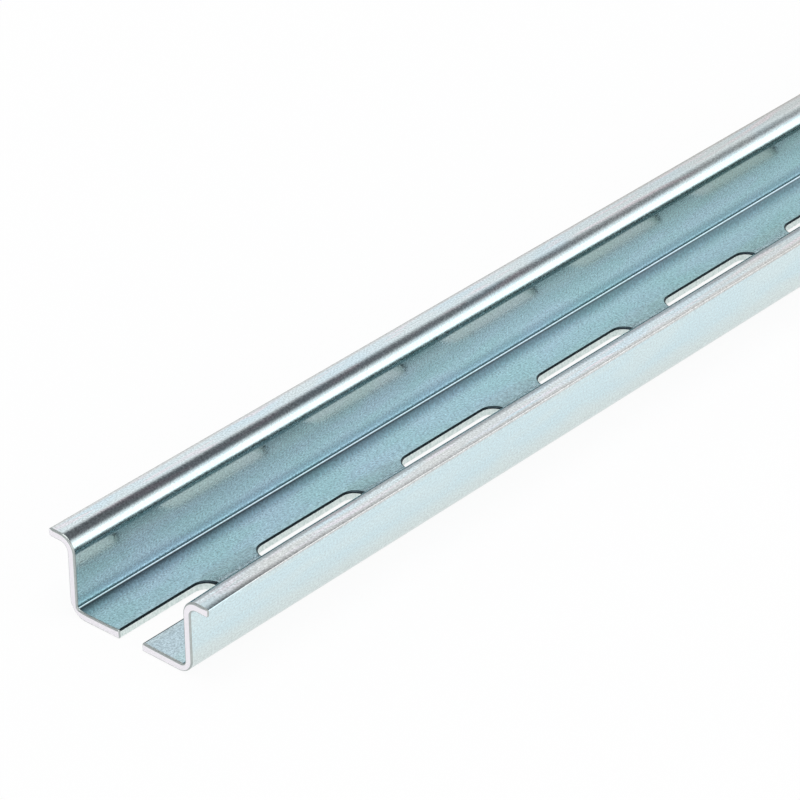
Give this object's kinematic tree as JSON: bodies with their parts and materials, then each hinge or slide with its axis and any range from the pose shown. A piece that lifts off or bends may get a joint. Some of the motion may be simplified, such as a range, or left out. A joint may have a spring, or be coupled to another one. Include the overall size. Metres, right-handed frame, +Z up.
{
  "type": "din rail",
  "caption": "Slotted top-hat mounting rail bent from zinc-plated steel strip, an open channel whose outward flanges carry clip-on electrical devices.",
  "frame": {"origin": "under the middle of the rail, on the plane that its base rests on", "axes": "+X along the rail, away from the end that the picture shows; +Y across it; +Z up, out of the channel"},
  "size_m": [1, 0.035, 0.015],
  "materials": {
    "zinc_plated_steel": "cold-rolled strip, zinc plated and blue passivated, satin with fine lengthwise rolling lines"
  },
  "bodies": {
    "root": {"rail": "zinc_plated_steel"}
  },
  "joints": []
}
